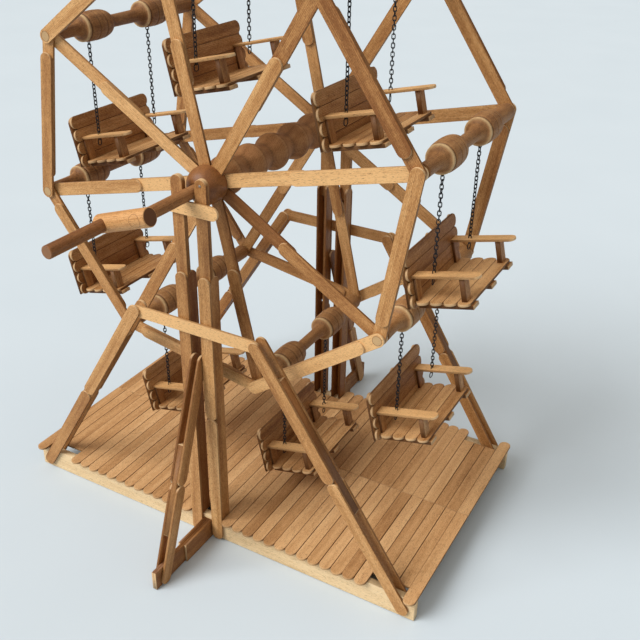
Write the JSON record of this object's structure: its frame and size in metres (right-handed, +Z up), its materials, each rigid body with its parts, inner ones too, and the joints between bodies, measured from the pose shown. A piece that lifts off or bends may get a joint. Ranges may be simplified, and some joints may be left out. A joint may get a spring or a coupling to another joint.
{
  "type": "tabletop ferris wheel",
  "caption": "Hand-cranked tabletop ferris wheel of craft sticks with turned spindles, chain-hung bench seats, braced towers and a slatted deck.",
  "frame": {"origin": "on the table under the middle of the deck, at the middle batten's underside", "axes": "+X along the deck the way the benches face, +Y away from the crank, +Z up"},
  "size_m": [0.381, 0.393, 0.4739],
  "materials": {
    "deck_wood": "matt bare wood",
    "pale_wood": "matt bare pine",
    "stick_wood": "aged, light sheen",
    "turned_wood": "waxed",
    "hub_wood": "dark varnish",
    "chain_metal": "blackened"
  },
  "bodies": {
    "stand": {"deck_front": "deck_wood", "deck_rear": "deck_wood", "batten_front": "pale_wood", "batten_middle": "pale_wood", "batten_rear": "pale_wood", "leg_front_left": "stick_wood", "leg_front_right": "stick_wood", "brace_front_left": "stick_wood", "brace_front_right": "stick_wood", "cross_bar_front": "pale_wood", "bearing_front": "pale_wood", "prop_front": "stick_wood", "foot_bar_front": "stick_wood", "leg_rear_left": "stick_wood", "leg_rear_right": "stick_wood", "brace_rear_left": "stick_wood", "brace_rear_right": "stick_wood", "cross_bar_rear": "pale_wood", "bearing_rear": "pale_wood", "prop_rear": "stick_wood", "foot_bar_rear": "stick_wood"},
    "wheel": {"axle": "hub_wood", "hub_spokes_front": "stick_wood", "hub_spokes_rear": "stick_wood", "rim_front": "stick_wood", "rim_rear": "stick_wood", "crank_arm": "hub_wood", "crank_handle": "turned_wood"},
    "gondola_1": {"spindle_1": "turned_wood", "chain_1_front": "chain_metal", "chain_1_rear": "chain_metal", "seat_1": "stick_wood"},
    "gondola_2": {"spindle_2": "turned_wood", "chain_2_front": "chain_metal", "chain_2_rear": "chain_metal", "seat_2": "stick_wood"},
    "gondola_3": {"spindle_3": "turned_wood", "chain_3_front": "chain_metal", "chain_3_rear": "chain_metal", "seat_3": "stick_wood"},
    "gondola_4": {"spindle_4": "turned_wood", "chain_4_front": "chain_metal", "chain_4_rear": "chain_metal", "seat_4": "stick_wood"},
    "gondola_5": {"spindle_5": "turned_wood", "chain_5_front": "chain_metal", "chain_5_rear": "chain_metal", "seat_5": "stick_wood"},
    "gondola_6": {"spindle_6": "turned_wood", "chain_6_front": "chain_metal", "chain_6_rear": "chain_metal", "seat_6": "stick_wood"},
    "gondola_7": {"spindle_7": "turned_wood", "chain_7_front": "chain_metal", "chain_7_rear": "chain_metal", "seat_7": "stick_wood"},
    "gondola_8": {"spindle_8": "turned_wood", "chain_8_front": "chain_metal", "chain_8_rear": "chain_metal", "seat_8": "stick_wood"}
  },
  "joints": [
    {"name": "wheel_spin", "type": "hinge", "parent": "stand", "child": "wheel", "pos_m": [0, 0, 0.30599], "axis": [0, 1, 0], "continuous": true},
    {"name": "gondola_1_swing", "type": "hinge", "parent": "wheel", "child": "gondola_1", "pos_m": [0.15687, 0, 0.3422], "axis": [0, 1, 0], "continuous": true},
    {"name": "gondola_2_swing", "type": "hinge", "parent": "wheel", "child": "gondola_2", "pos_m": [0.13654, 0, 0.22067], "axis": [0, 1, 0], "continuous": true},
    {"name": "gondola_3_swing", "type": "hinge", "parent": "wheel", "child": "gondola_3", "pos_m": [0.03622, 0, 0.14911], "axis": [0, 1, 0], "continuous": true},
    {"name": "gondola_4_swing", "type": "hinge", "parent": "wheel", "child": "gondola_4", "pos_m": [-0.08532, 0, 0.16945], "axis": [0, 1, 0], "continuous": true},
    {"name": "gondola_5_swing", "type": "hinge", "parent": "wheel", "child": "gondola_5", "pos_m": [-0.15687, 0, 0.26977], "axis": [0, 1, 0], "continuous": true},
    {"name": "gondola_6_swing", "type": "hinge", "parent": "wheel", "child": "gondola_6", "pos_m": [-0.13654, 0, 0.3913], "axis": [0, 1, 0], "continuous": true},
    {"name": "gondola_7_swing", "type": "hinge", "parent": "wheel", "child": "gondola_7", "pos_m": [-0.03622, 0, 0.46286], "axis": [0, 1, 0], "continuous": true},
    {"name": "gondola_8_swing", "type": "hinge", "parent": "wheel", "child": "gondola_8", "pos_m": [0.08532, 0, 0.44252], "axis": [0, 1, 0], "continuous": true}
  ],
  "couplings": [
    {"joint": "gondola_1_swing", "follows": "wheel_spin", "ratio": -1},
    {"joint": "gondola_2_swing", "follows": "wheel_spin", "ratio": -1},
    {"joint": "gondola_3_swing", "follows": "wheel_spin", "ratio": -1},
    {"joint": "gondola_4_swing", "follows": "wheel_spin", "ratio": -1},
    {"joint": "gondola_5_swing", "follows": "wheel_spin", "ratio": -1},
    {"joint": "gondola_6_swing", "follows": "wheel_spin", "ratio": -1},
    {"joint": "gondola_7_swing", "follows": "wheel_spin", "ratio": -1},
    {"joint": "gondola_8_swing", "follows": "wheel_spin", "ratio": -1}
  ]
}
